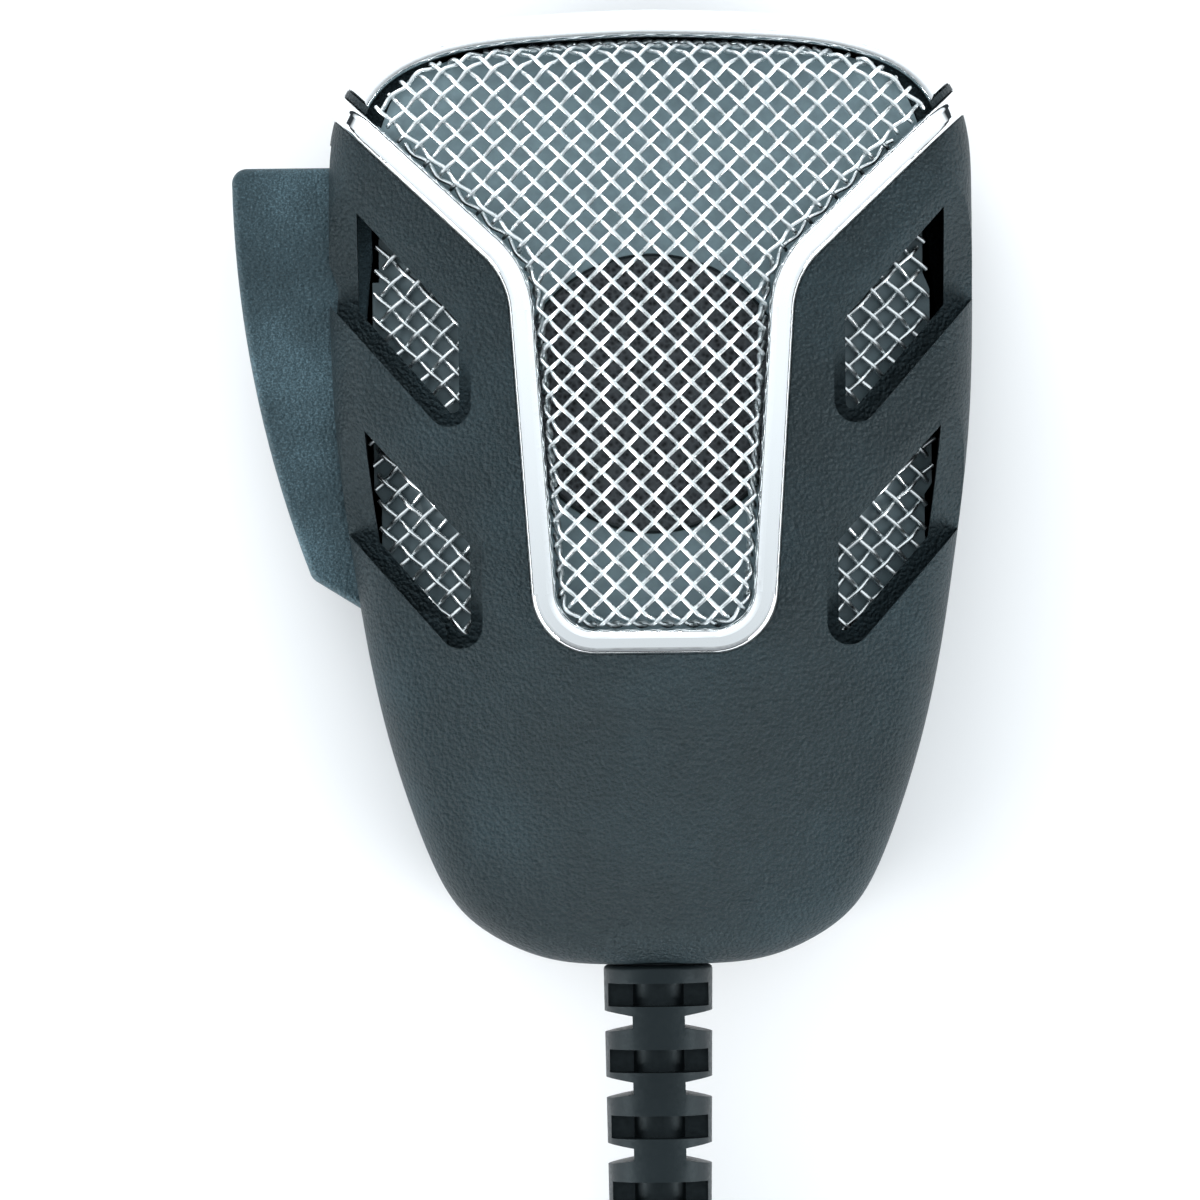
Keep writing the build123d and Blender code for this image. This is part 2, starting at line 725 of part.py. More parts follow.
def plug_coupling_ring():
    low = plug_ring_low()
    ring = plug_disc(ring_radius, low, low + ring_length)
    ring = chamfer(ring.edges(), 0.5)
    grooves = Part()
    count = 36
    for i in range(count):
        spot = plug_at(low + 3.0) * Rot(0, 0, 360 * i / count) * Pos(ring_radius, 0, 0)
        grooves += spot * extrude(Rot(0, 0, 45) * Rectangle(0.75, 0.75), ring_length - 6.0)
    ring = ring - grooves
    ring = ring - plug_disc(plug_radius + slip, low - 1, low + 6.0)
    return ring - plug_disc(plug_radius - 0.6, low - 1, low + ring_length + 1)


def plug_insert():
    low = plug_boot_length + plug_body_length - 4.0
    high = plug_ring_low() + ring_length - 2.0
    core = plug_disc(plug_radius - plug_wall - fit, low, high)
    core -= plug_at(high - 8) * Pos(0, plug_radius - plug_wall - 0.4, 0) * extrude(Rectangle(1.8, 1.6), 9)
    for x, y in pin_spots():
        core -= plug_at(low - 1) * Pos(x, y) * extrude(Circle(1.0), high - low + 2)
    return core


def pin_spots():
    return [(3.2 * math.cos(math.radians(a)), 3.2 * math.sin(math.radians(a))) for a in (45, 135, 225, 315)]


def plug_contacts():
    low = plug_boot_length + plug_body_length - 8.0
    high = plug_ring_low() + ring_length - 2.2
    pins = []
    for x, y in pin_spots():
        pin = plug_at(low) * Pos(x, y) * extrude(Circle(1.0), high - low)
        pins.append(pin - plug_at(high - 6) * Pos(x, y) * extrude(Circle(0.55), 7))
    return Compound(pins)


def plug_clamp_screws():
    one = Rot(180, 0, 0) * screw(0.9, 1.6, 0.9, 3.2)
    spots = [Pos(plug_x + side * 4.4, plug_low_y + plug_boot_length + 9, plug_z + plug_radius * 0.845)
             for side in (-1, 1)]
    return Compound([spot * one for spot in spots])


def save(name, shape):
    solids = shape.solids()
    moved = Pos(0, -stud_y, 0) * (Compound(solids) if len(solids) > 1 else solids[0])
    export_step(moved, f"parts/{name}.step")
    print(name, len(solids), round(sum(s.volume for s in solids), 1), all(s.is_valid for s in solids))


def main():
    os.makedirs("parts", exist_ok=True)
    right = side_mesh()
    pieces = {
        "front_shell": front_shell(),
        "back_shell": back_shell() + clamp_posts(),
        "grille_trim": grille_trim(),
        "top_trim": top_trim(),
        "centre_mesh": centre_mesh(),
        "right_mesh": right,
        "left_mesh": mirror(right, about=Plane.YZ) - pivot_boss(parting_z, face_z, mesh_gap),
        "grille_carrier": grille_carrier(),
        "cartridge_cup": cartridge_cup(),
        "cartridge_magnet": cartridge_magnet(),
        "cartridge_cap": cartridge_cap(),
        "cartridge_gasket": cartridge_gasket(),
        "cartridge_terminals": cartridge_terminals(),
        "wind_screen": wind_screen(),
        "circuit_board": circuit_board(),
        "board_components": board_components(),
        "board_screws": board_screws(),
        "housing_screws": housing_screws(),
        "ptt_lever": ptt_lever(),
        "ptt_pin": ptt_pin(),
        "ptt_spring": ptt_spring(),
        "spring_seat": spring_seat(),
        "switch_body": switch_body(),
        "switch_plunger": switch_plunger(),
        "hang_stud": hang_stud(),
        "stud_nut": stud_nut(),
        "strain_relief": strain_relief(),
        "cord_inner": cord_inner(),
        "cord_clamp": cord_clamp(),
        "clamp_screws": clamp_screws(),
        "lead_wires": lead_wires(),
        "cord_lead": tube("cord_lead", lead_route, cable_radius),
        "cord_curl": tube("cord_curl", curl_route, curl_radius),
        "cord_tail": tube("cord_tail", tail_route, cable_radius),
        "plug_cable": plug_cable(),
        "plug_boot": plug_boot(),
        "plug_shell": plug_shell(),
        "plug_coupling_ring": plug_coupling_ring(),
        "plug_insert": plug_insert(),
        "plug_contacts": plug_contacts(),
        "plug_clamp_screws": plug_clamp_screws(),
    }
    for name, shape in pieces.items():
        save(name, shape)


main()
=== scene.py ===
"""Hand microphone on a curly cord: looks for the packed frame, one operator for each group of pieces."""
import json
import math

import bmesh
import bpy
import numpy as np
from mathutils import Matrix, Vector
from mathutils.bvhtree import BVHTree


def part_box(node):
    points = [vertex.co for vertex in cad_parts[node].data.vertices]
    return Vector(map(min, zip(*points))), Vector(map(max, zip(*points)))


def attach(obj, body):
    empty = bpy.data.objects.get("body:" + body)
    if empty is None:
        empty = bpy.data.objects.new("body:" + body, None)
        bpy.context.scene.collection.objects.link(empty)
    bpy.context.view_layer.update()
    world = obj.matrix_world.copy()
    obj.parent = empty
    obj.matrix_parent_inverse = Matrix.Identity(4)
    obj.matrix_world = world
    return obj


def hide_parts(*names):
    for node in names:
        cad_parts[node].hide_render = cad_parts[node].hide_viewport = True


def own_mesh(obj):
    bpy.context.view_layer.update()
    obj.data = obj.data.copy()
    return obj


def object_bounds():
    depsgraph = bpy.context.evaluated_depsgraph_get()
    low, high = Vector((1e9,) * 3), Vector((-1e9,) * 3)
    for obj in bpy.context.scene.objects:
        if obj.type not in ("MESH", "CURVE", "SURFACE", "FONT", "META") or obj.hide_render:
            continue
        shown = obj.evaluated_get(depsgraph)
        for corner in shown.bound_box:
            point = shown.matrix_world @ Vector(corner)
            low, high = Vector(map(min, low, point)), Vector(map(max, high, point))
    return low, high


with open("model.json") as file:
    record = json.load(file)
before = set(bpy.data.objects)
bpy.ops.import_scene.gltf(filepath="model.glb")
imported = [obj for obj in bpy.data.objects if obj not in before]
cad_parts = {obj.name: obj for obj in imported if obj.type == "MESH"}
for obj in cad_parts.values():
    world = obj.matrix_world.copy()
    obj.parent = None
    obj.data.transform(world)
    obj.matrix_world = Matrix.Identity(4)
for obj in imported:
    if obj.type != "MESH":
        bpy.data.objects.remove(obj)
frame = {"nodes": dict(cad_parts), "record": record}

bl_info = {
    "name": "Hand Microphone",
    "version": (1, 0, 0),
    "blender": (4, 5, 0),
    "location": "View3D > Sidebar > Microphone",
    "description": "Builds the looks of a hand microphone around its fixed frame",
    "category": "Object",
}

MM = 0.001
CAD_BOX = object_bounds()
BODY_MIDDLE_Y = -18.0 * MM      # middle of the body's length; the frame's origin is the hang stud

SHARP_EDGE = math.radians(35)   # edges above this angle stay sharp in the shading
EASED_EDGE = math.radians(45)   # edges above this angle are rounded
MERGE_GAP = 0.002 * MM          # vertices closer than this are one

# Woven wire
STEPS_PER_PITCH = 7             # points on a wire from one crossing to the next
UPRIGHT = 0.2                   # walls whose normal rises less than this are upright
LONG_SHEET = 40 * MM            # the middle grille; its outline is sorted round a place near the top
LONG_SHEET_POLE = 22 * MM       # that place, below the top
LEAST_BEND = 0.6 * MM
SIDE_BEND = 0.9 * MM            # rim of the side grilles
BEND_SHARE = 0.8                # share of the sheet's height that a rim may take up
WIRE_SIDES = 8
BAFFLE_DROP = 0.85 * MM         # baffle below the side grille
LEVER_ROOM = 0.35 * MM          # baffle above the lever

# Curls of the cord
WALK_STEP = 0.25 * MM           # spacing of the places along the middle line
BEND_WINDOW = 24                # places on either side over which the bend is measured
MOST_BEND = 60.0                # bend in 1/m above which the curls spread no further
POINTS_PER_TURN = 14
HUG = 0.992                     # the curve runs this much inside its control points' circle

# Route of the cord, in millimetres from the middle of the body
LEAD_ROUTE = [(0, -91.1, 14), (0.3, -102, 13.8), (2.6, -113, 12.2), (7.2, -123, 9.4), (12.2, -133, 7.3),
              (16, -143.5, 7)]
CURL_ROUTE = [(16, -143.5, 7), (18.4, -170, 7), (18, -198, 7), (17.6, -223, 7), (5.2, -236.4, 7),
              (-13.2, -236, 7), (-25.9, -222.8, 7), (-26.5, -197, 7), (-25.8, -168, 7), (-26, -142, 7)]
TAIL_ROUTE = [(-26, -142, 7), (-26.1, -137, 7.2), (-25.9, -131.5, 8.3), (-26, -126, 9.5)]


# ---------------------------------------------------------------- settings

class MicStageSettings(bpy.types.PropertyGroup):
    """Camera, floor and light."""
    view_width: bpy.props.FloatProperty(
        name="View Width", description="Width of the view at the body's rim", default=0.12, unit="LENGTH")
    distance: bpy.props.FloatProperty(
        name="Distance", description="Camera above the body's rim", default=1.0, unit="LENGTH")
    turn: bpy.props.FloatProperty(
        name="Turn", description="Turn of the camera about its axis", default=math.radians(-0.63),
        unit="ROTATION")
    floor_colour: bpy.props.FloatVectorProperty(
        name="Floor", description="Colour of the floor", subtype="COLOR", size=3, default=(0.93, 0.94, 0.95))
    tent_colour: bpy.props.FloatVectorProperty(
        name="Tent", description="Colour of the light from above", subtype="COLOR", size=3,
        default=(0.90, 0.96, 1.0))
    tent_light: bpy.props.FloatProperty(
        name="Tent Light", description="Strength of the light from above", default=1.25)
    tent_low: bpy.props.FloatProperty(
        name="Low End", description="Share of that light left towards the cord end", default=0.3)
    band: bpy.props.FloatProperty(
        name="Dark Band", description="Height of the dark band above the horizon, as a sine", default=0.16)


class MicPlasticSettings(bpy.types.PropertyGroup):
    """Moulded shells, lever and rubber."""
    shell_colour: bpy.props.FloatVectorProperty(
        name="Shell", description="Colour of both shells", subtype="COLOR", size=3,
        default=(0.0045, 0.0085, 0.0105))
    lever_colour: bpy.props.FloatVectorProperty(
        name="Lever", description="Colour of the push-to-talk lever", subtype="COLOR", size=3,
        default=(0.028, 0.048, 0.058))
    rubber_colour: bpy.props.FloatVectorProperty(
        name="Rubber", description="Colour of strain relief and cord", subtype="COLOR", size=3,
        default=(0.004, 0.006, 0.007))
    carrier_colour: bpy.props.FloatVectorProperty(
        name="Carrier", description="Colour of the plate behind the grille", subtype="COLOR", size=3,
        default=(0.19, 0.27, 0.30))
    grain: bpy.props.FloatProperty(
        name="Grain", description="Size of one cell of the leather grain", default=0.42 * MM, unit="LENGTH")


class MicWireSettings(bpy.types.PropertyGroup):
    """Woven wire grilles."""
    gauge: bpy.props.FloatProperty(
        name="Gauge", description="Diameter of one wire", default=0.45 * MM, unit="LENGTH")
    pitch: bpy.props.FloatProperty(
        name="Pitch", description="Distance from wire to wire", default=1.78 * MM, unit="LENGTH")
    slant: bpy.props.FloatProperty(
        name="Slant", description="Angle of the wires from the body's width", default=math.radians(44.4),
        unit="ROTATION")
    bend: bpy.props.FloatProperty(
        name="Bend", description="Radius of the rim turned down beside the legs of the trim",
        default=1.3 * MM, unit="LENGTH")
    arm_bend: bpy.props.FloatProperty(
        name="Arm Bend", description="Radius of the rim along the arms of the trim", default=2.3 * MM,
        unit="LENGTH")
    crown_bend: bpy.props.FloatProperty(
        name="Crown Bend", description="Radius of the rim under the top end", default=3.8 * MM, unit="LENGTH")
    skirt: bpy.props.FloatProperty(
        name="Skirt", description="Straight wall below the turned rim", default=1.2 * MM, unit="LENGTH")


class MicCordSettings(bpy.types.PropertyGroup):
    """Curly cord."""
    diameter: bpy.props.FloatProperty(
        name="Diameter", description="Diameter of the cable", default=4.2 * MM, unit="LENGTH")
    curl: bpy.props.FloatProperty(
        name="Curl", description="Outer diameter of the curls", default=13.9 * MM, unit="LENGTH")
    spacing: bpy.props.FloatProperty(
        name="Spacing", description="Distance from turn to turn where the curl is straight",
        default=4.3 * MM, unit="LENGTH")
    run_in: bpy.props.FloatProperty(
        name="Run-in", description="Length over which the straight cord opens into its curls",
        default=15 * MM, unit="LENGTH")


SETTINGS = (("mic_stage", MicStageSettings), ("mic_plastic", MicPlasticSettings),
            ("mic_wire", MicWireSettings), ("mic_cord", MicCordSettings))


# ---------------------------------------------------------------- materials

class Tree:
    """Short way to add linked nodes to a material."""

    def __init__(self, name, colour, roughness, metallic=0.0, **sockets):
        self.material = bpy.data.materials.new(name)
        self.material.use_nodes = True
        self.nodes = self.material.node_tree.nodes
        self.links = self.material.node_tree.links
        self.shader = self.nodes["Principled BSDF"]
        self.set("Base Color", (*colour, 1.0))
        self.set("Roughness", roughness)
        self.set("Metallic", metallic)
        for socket, value in sockets.items():
            self.set(socket.replace("_", " "), value)

    def set(self, socket, value):
        self.shader.inputs[socket].default_value = value

    def add(self, kind, inputs=None, **values):
        node = self.nodes.new(kind)
        for key, value in values.items():
            setattr(node, key, value)
        for key, value in (inputs or {}).items():
            if isinstance(value, bpy.types.NodeSocket):
                self.links.new(value, node.inputs[key])
            else:
                node.inputs[key].default_value = value
        return node

    def place(self):
        return self.add("ShaderNodeTexCoord").outputs["Object"]

    def noise(self, size, detail=3.0, roughness=0.55, place=None):
        return self.add("ShaderNodeTexNoise", {"Vector": place or self.place(), "Scale": 1.0 / size,
                                               "Detail": detail, "Roughness": roughness}).outputs[0]

    def cells(self, size, feature="F1", smooth=None, place=None):
        node = self.add("ShaderNodeTexVoronoi", {"Vector": place or self.place(), "Scale": 1.0 / size},
                        feature=feature)
        if smooth is not None:
            node.inputs["Smoothness"].default_value = smooth
        return node.outputs["Distance"]

    def ramp(self, value, stops):
        node = self.add("ShaderNodeValToRGB", {"Fac": value})
        points = node.color_ramp.elements
        while len(points) < len(stops):
            points.new(0.5)
        for point, (spot, colour) in zip(points, stops):
            point.position = spot
            point.color = (*colour, 1.0)
        return node.outputs["Color"]

    def range(self, value, low, high, from_low=0.0, from_high=1.0):
        return self.add("ShaderNodeMapRange", {"Value": value, "From Min": from_low, "From Max": from_high,
                                               "To Min": low, "To Max": high}).outputs["Result"]

    def math(self, how, a, b):
        return self.add("ShaderNodeMath", {0: a, 1: b}, operation=how).outputs[0]

    def bump(self, height, depth):
        return self.add("ShaderNodeBump", {"Height": height, "Distance": depth,
                                           "Strength": 1.0}).outputs["Normal"]

    def link(self, value, socket):
        self.links.new(value, self.shader.inputs[socket])


def tint(colour, share):
    return tuple(min(1.0, c * share) for c in colour)


def grained_plastic(name, colour, grain, depth):
    """Moulded plastic with a fine leather grain."""
    tree = Tree(name, colour, 0.5, Specular_IOR_Level=0.30, Specular_Tint=(0.70, 0.92, 1.0, 1.0))
    place = tree.place()
    cells = tree.cells(grain, "SMOOTH_F1", 0.35, place)
    fine = tree.noise(grain * 0.45, 4.0, 0.6, place)
    broad = tree.noise(grain * 26, 2.0, 0.5, place)
    height = tree.math("ADD", tree.math("MULTIPLY", cells, -0.9), tree.math("MULTIPLY", fine, 0.8))
    tree.link(tree.bump(height, depth), "Normal")
    # Base colour: random broad tone, plus a lighter colour where the fine noise raises the grain, painted light
    # and shade on the grain's relief.
    grain_tone_and_shade = tree.math("ADD", tree.math("MULTIPLY", fine, 0.6), tree.math("MULTIPLY", broad, 0.4))
    tree.link(tree.ramp(grain_tone_and_shade, [(0.34, tint(colour, 0.35)), (0.5, colour), (0.66, tint(colour, 3.0))]),
              "Base Color")
    tree.link(tree.range(grain_tone_and_shade, 0.36, 0.56, 0.3, 0.7), "Roughness")
    return tree.material


def smooth_plastic(name, colour, roughness=0.4, speck=1.2 * MM):
    tree = Tree(name, colour, roughness, Specular_IOR_Level=0.5)
    noise = tree.noise(speck, 4.0)
    tree.link(tree.bump(noise, 0.012 * MM), "Normal")
    tree.link(tree.ramp(noise, [(0.3, tint(colour, 0.86)), (0.7, tint(colour, 1.14))]), "Base Color")
    tree.link(tree.range(noise, roughness - 0.06, roughness + 0.08, 0.3, 0.7), "Roughness")
    return tree.material


def soft_rubber(name, colour):
    tree = Tree(name, colour, 0.42, Specular_IOR_Level=0.26, Specular_Tint=(0.75, 0.93, 1.0, 1.0))
    place = tree.place()
    fine = tree.noise(0.5 * MM, 3.0, 0.6, place)
    broad = tree.noise(9 * MM, 2.0, 0.5, place)
    tree.link(tree.bump(fine, 0.02 * MM), "Normal")
    tree.link(tree.ramp(broad, [(0.3, tint(colour, 0.8)), (0.7, tint(colour, 1.3))]), "Base Color")
    tree.link(tree.range(fine, 0.33, 0.5, 0.3, 0.7), "Roughness")
    return tree.material


def polished_chrome(name):
    tree = Tree(name, (0.90, 0.92, 0.93), 0.05, 1.0)
    haze = tree.noise(14 * MM, 3.0)
    tree.link(tree.range(haze, 0.03, 0.09, 0.35, 0.75), "Roughness")
    tree.link(tree.bump(tree.noise(5 * MM, 1.0), 0.004 * MM), "Normal")
    return tree.material


def metal(name, colour, roughness):
    tree = Tree(name, colour, roughness, 1.0)
    noise = tree.noise(0.6 * MM, 4.0, 0.6)
    tree.link(tree.range(noise, roughness * 0.75, roughness * 1.35, 0.3, 0.7), "Roughness")
    tree.link(tree.ramp(noise, [(0.3, tint(colour, 0.88)), (0.7, tint(colour, 1.06))]), "Base Color")
    tree.link(tree.bump(noise, 0.006 * MM), "Normal")
    return tree.material


def open_foam(name, colour):
    tree = Tree(name, colour, 0.95, Specular_IOR_Level=0.2)
    pores = tree.cells(0.55 * MM)
    tree.link(tree.bump(pores, 0.25 * MM), "Normal")
    # Darker at the middle of each cell, where the bump sinks it: painted shade in the pores.
    tree.link(tree.ramp(pores, [(0.1, tint(colour, 0.3)), (0.6, tint(colour, 1.6))]), "Base Color")
    return tree.material


def solder_mask(name, colour):
    tree = Tree(name, colour, 0.25, Coat_Weight=0.3)
    lines = tree.add("ShaderNodeTexBrick", {"Vector": tree.place(), "Scale": 260.0,
                                            "Color1": (*colour, 1), "Color2": (*tint(colour, 1.2), 1),
                                            "Mortar": (*tint(colour, 1.9), 1), "Mortar Size": 0.03})
    tree.link(lines.outputs["Color"], "Base Color")
    tree.link(tree.bump(tree.noise(0.4 * MM), 0.01 * MM), "Normal")
    return tree.material


# ---------------------------------------------------------------- mesh helpers

def add_object(name, data):
    piece = bpy.data.objects.new(name, data)
    bpy.context.scene.collection.objects.link(piece)
    return piece


def merged_copy(node):
    """bmesh of a CAD node with its doubles merged."""
    mesh = bmesh.new()
    mesh.from_mesh(frame["nodes"][node].data)
    bmesh.ops.remove_doubles(mesh, verts=mesh.verts, dist=MERGE_GAP)
    return mesh


def dress(node, material):
    """A CAD node that keeps its shape takes a material."""
    piece = frame["nodes"][node]
    piece.data.materials.clear()
    piece.data.materials.append(material)


def body_of(node):
    for body, members in frame["record"]["behaviour"]["bodies"].items():
        if node in members:
            return body
    raise RuntimeError(f"{node} is on no body")


def stand_for(piece, node):
    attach(piece, body_of(node))
    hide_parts(node)


def smooth_skin(node, material, bevel=0.0, edge_material=None):
    """Stands a merged, smooth-shaded copy of a CAD node in its place, with its edges eased."""
    mesh = merged_copy(node)
    data = bpy.data.meshes.new(node + "_skin")
    for face in mesh.faces:
        face.smooth = True
    for edge in mesh.edges:
        edge.smooth = not (edge.is_manifold and edge.calc_face_angle(0.0) > SHARP_EDGE)
    mesh.to_mesh(data)
    mesh.free()
    data.materials.append(material)
    piece = add_object(node + "_skin", data)
    if bevel:
        ease = piece.modifiers.new("eased edges", "BEVEL")
        ease.width = bevel
        ease.segments = 3
        ease.limit_method = "ANGLE"
        ease.angle_limit = EASED_EDGE
        ease.harden_normals = False
        if edge_material:
            data.materials.append(edge_material)
            ease.material = 1
    stand_for(piece, node)
    return piece


# ---------------------------------------------------------------- woven wire

def wall_outlines(node):
    """Outlines, seen from the face, of each sheet of a CAD node, from its outer upright walls."""
    mesh = merged_copy(node)
    left = set(mesh.faces)
    outlines = []
    while left:
        stack = [left.pop()]
        island = list(stack)
        while stack:
            for edge in stack.pop().edges:
                for face in edge.link_faces:
                    if face in left:
                        left.discard(face)
                        stack.append(face)
                        island.append(face)
        spots = np.array([v.co.xy[:] for f in island for v in f.verts])
        low, high = spots.min(0), spots.max(0)
        pole = (low + high) / 2
        if high[1] - low[1] > LONG_SHEET:
            pole[1] = high[1] - LONG_SHEET_POLE
        walls = {}
        for face in island:
            if abs(face.normal.z) > UPRIGHT:
                continue
            centre = face.calc_center_median().xy
            if face.normal.xy.dot(centre - Vector(pole)) > 0:
                for vert in face.verts:
                    walls[(round(vert.co.x, 6), round(vert.co.y, 6))] = vert.co.xy[:]
        points = np.array(list(walls.values()))
        angles = np.arctan2(points[:, 1] - pole[1], points[:, 0] - pole[0])
        outlines.append(points[np.argsort(angles)])
    mesh.free()
    return outlines


def edge_distance(spots, outline):
    """Distance inwards from an outline, and the outward direction at the nearest place on it."""
    start = outline
    step = np.roll(outline, -1, 0) - start
    share = ((spots[:, None] - start) * step).sum(2) / np.maximum((step ** 2).sum(1), 1e-18)
    foot = start + np.clip(share, 0, 1)[:, :, None] * step
    away = spots[:, None] - foot
    reach = np.linalg.norm(away, axis=2)
    nearest = reach.argmin(1)
    rows = np.arange(len(spots))
    best = away[rows, nearest]
    crossing = ((start[:, 1] > spots[:, None, 1]) != (np.roll(outline, -1, 0)[:, 1] > spots[:, None, 1]))
    with np.errstate(divide="ignore", invalid="ignore"):
        at = start[:, 0] + (spots[:, None, 1] - start[:, 1]) * step[:, 0] / step[:, 1]
    inside = (crossing & (spots[:, None, 0] < at)).sum(1) % 2 == 1
    sign = np.where(inside, 1.0, -1.0)
    out = -sign[:, None] * best / np.maximum(reach[rows, nearest], 1e-9)[:, None]
    return sign * reach[rows, nearest], out


def face_heights(tree, spots):
    """Height and normal of the sheet's face under each place."""
    heights, normals = [], []
    for x, y in spots:
        hit, normal, _, _ = tree.ray_cast(Vector((x, y, 1.0)), Vector((0, 0, -1)))
        heights.append(hit.z if hit else np.nan)
        normals.append(normal[:] if hit else (0, 0, 1))
    return np.array(heights), np.array(normals)


def rim_bends(feet, out, wire):
    """Radius of the turned rim of the middle grille: small at the legs, larger up the arms and on top."""
    up = np.clip((feet[:, 1] - BODY_MIDDLE_Y - 16 * MM) / (10 * MM), 0, 1)
    crown = np.clip((out[:, 1] - 0.55) / 0.35, 0, 1)
    side = wire.bend + (wire.arm_bend - wire.bend) * up * up * (3 - 2 * up)
    return side + (wire.crown_bend - side) * crown


def even_bends(feet, out, wire):
    return np.full(len(feet), SIDE_BEND)


def wire_runs(outline, tree, wire, bends, lowest):
    """Centre lines of a plain weave laid over a sheet, with its rim turned down."""
    runs = []
    middle = (outline.min(0) + outline.max(0)) / 2
    reach = np.linalg.norm(outline.max(0) - outline.min(0)) / 2 + 4 * wire.pitch
    ways = [np.array([math.cos(wire.slant), side * math.sin(wire.slant)]) for side in (1, -1)]
    count = int(reach / wire.pitch) + 1
    along = np.arange(-reach, reach, wire.pitch / STEPS_PER_PITCH)
    for family in (0, 1):
        way = ways[family]
        side = np.array([-way[1], way[0]])
        for k in range(-count, count + 1):
            shift = (k + 0.5) * wire.pitch
            spots = middle + side * shift + along[:, None] * way
            depth, out = edge_distance(spots, outline)
            bend = bends(spots + out * depth[:, None], out, wire)
            inner, _ = face_heights(tree, spots + out * (depth - bend)[:, None])
            room = np.nan_to_num(BEND_SHARE * (inner - lowest), nan=1.0)
            bend = np.clip(room, LEAST_BEND, bend)
            past = np.maximum(bend - depth, 0.0)
            turn = np.minimum(past / bend, math.pi / 2)
            straight = np.maximum(past - bend * math.pi / 2, 0.0)
            flat = depth >= bend
            base = np.where(flat[:, None], spots, spots + out * (depth - bend)[:, None])
            height, up = face_heights(tree, base)
            place = base + out * (bend * np.sin(turn))[:, None]
            level = height - bend * (1 - np.cos(turn)) - straight - wire.gauge / 2
            normal = up * np.cos(turn)[:, None]
            normal[:, :2] += out * np.sin(turn)[:, None]
            normal /= np.linalg.norm(normal, axis=1)[:, None]
            weave = weave_of(spots - middle, family, k, ways, wire.pitch)
            line = np.column_stack([place, level]) + normal * (weave * wire.gauge * 0.5)[:, None]
            kept = ~np.isnan(level) & (straight < wire.skirt) & (line[:, 2] > lowest + wire.gauge * 0.5)
            runs += unbroken(line, kept)
    return runs


def weave_of(spots, family, k, ways, pitch):
    """Over or under, from 1 to -1: it changes sides at each wire of the other family."""
    other = ways[1 - family]
    across = np.array([-other[1], other[0]])
    number = spots @ across / pitch - 0.5
    flip = 1 if k % 2 == 0 else -1
    return np.cos(math.pi * number) * flip * (1 if family == 0 else -1)


def unbroken(line, kept):
    """The stretches of a line whose points are all kept."""
    runs, start = [], None
    for i, keep in enumerate([*kept, False]):
        if keep and start is None:
            start = i
        elif not keep and start is not None:
            if i - start > 4:
                runs.append(line[start:i])
            start = None
    return runs


def wire_tree():
    """Geometry nodes that turn centre lines into round wire."""
    tree = bpy.data.node_groups.new("round wire", "GeometryNodeTree")
    face = tree.interface
    face.new_socket("Lines", in_out="INPUT", socket_type="NodeSocketGeometry")
    gauge = face.new_socket("Gauge", in_out="INPUT", socket_type="NodeSocketFloat")
    sides = face.new_socket("Sides", in_out="INPUT", socket_type="NodeSocketInt")
    finish = face.new_socket("Finish", in_out="INPUT", socket_type="NodeSocketMaterial")
    face.new_socket("Wire", in_out="OUTPUT", socket_type="NodeSocketGeometry")
    nodes, links = tree.nodes, tree.links
    source = nodes.new("NodeGroupInput")
    half = nodes.new("ShaderNodeMath")
    half.operation = "MULTIPLY"
    half.inputs[1].default_value = 0.5
    links.new(source.outputs["Gauge"], half.inputs[0])
    circle = nodes.new("GeometryNodeCurvePrimitiveCircle")
    links.new(source.outputs["Sides"], circle.inputs["Resolution"])
    links.new(half.outputs[0], circle.inputs["Radius"])
    curve = nodes.new("GeometryNodeMeshToCurve")
    links.new(source.outputs["Lines"], curve.inputs["Mesh"])
    sweep = nodes.new("GeometryNodeCurveToMesh")
    sweep.inputs["Fill Caps"].default_value = True
    links.new(curve.outputs["Curve"], sweep.inputs["Curve"])
    links.new(circle.outputs["Curve"], sweep.inputs["Profile Curve"])
    smooth = nodes.new("GeometryNodeSetShadeSmooth")
    links.new(sweep.outputs["Mesh"], smooth.inputs["Geometry"])
    real = nodes.new("GeometryNodeRealizeInstances")
    links.new(smooth.outputs["Geometry"], real.inputs["Geometry"])
    paint = nodes.new("GeometryNodeSetMaterial")
    links.new(real.outputs["Geometry"], paint.inputs["Geometry"])
    links.new(source.outputs["Finish"], paint.inputs["Material"])
    target = nodes.new("NodeGroupOutput")
    links.new(paint.outputs["Geometry"], target.inputs["Wire"])
    return tree, {"gauge": gauge.identifier, "sides": sides.identifier, "finish": finish.identifier}


def run_tree(piece, tree, values):
    """Runs a geometry node tree on a piece and keeps the result as its plain mesh."""
    modifier = piece.modifiers.new(tree.name, "NODES")
    modifier.node_group = tree
    for identifier, value in values.items():
        modifier[identifier] = value
    deps = bpy.context.evaluated_depsgraph_get()
    data = bpy.data.meshes.new_from_object(piece.evaluated_get(deps))
    piece.modifiers.remove(modifier)
    piece.data = data
    return piece


def woven_piece(node, name, wire, bends, finish, tree, sockets):
    surface = BVHTree.FromObject(frame["nodes"][node], bpy.context.evaluated_depsgraph_get())
    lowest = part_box(node)[0][2]
    points, edges = [], []
    for outline in wall_outlines(node):
        for run in wire_runs(outline, surface, wire, bends, lowest):
            first = len(points)
            points += [tuple(p) for p in run]
            edges += [(first + i, first + i + 1) for i in range(len(run) - 1)]
    if not points:
        raise RuntimeError(f"no wires over {node}")
    data = bpy.data.meshes.new(name)
    data.from_pydata(points, edges, [])
    piece = add_object(name, data)
    run_tree(piece, tree, {sockets["gauge"]: wire.gauge, sockets["sides"]: WIRE_SIDES,
                           sockets["finish"]: finish})
    stand_for(piece, node)
    return piece


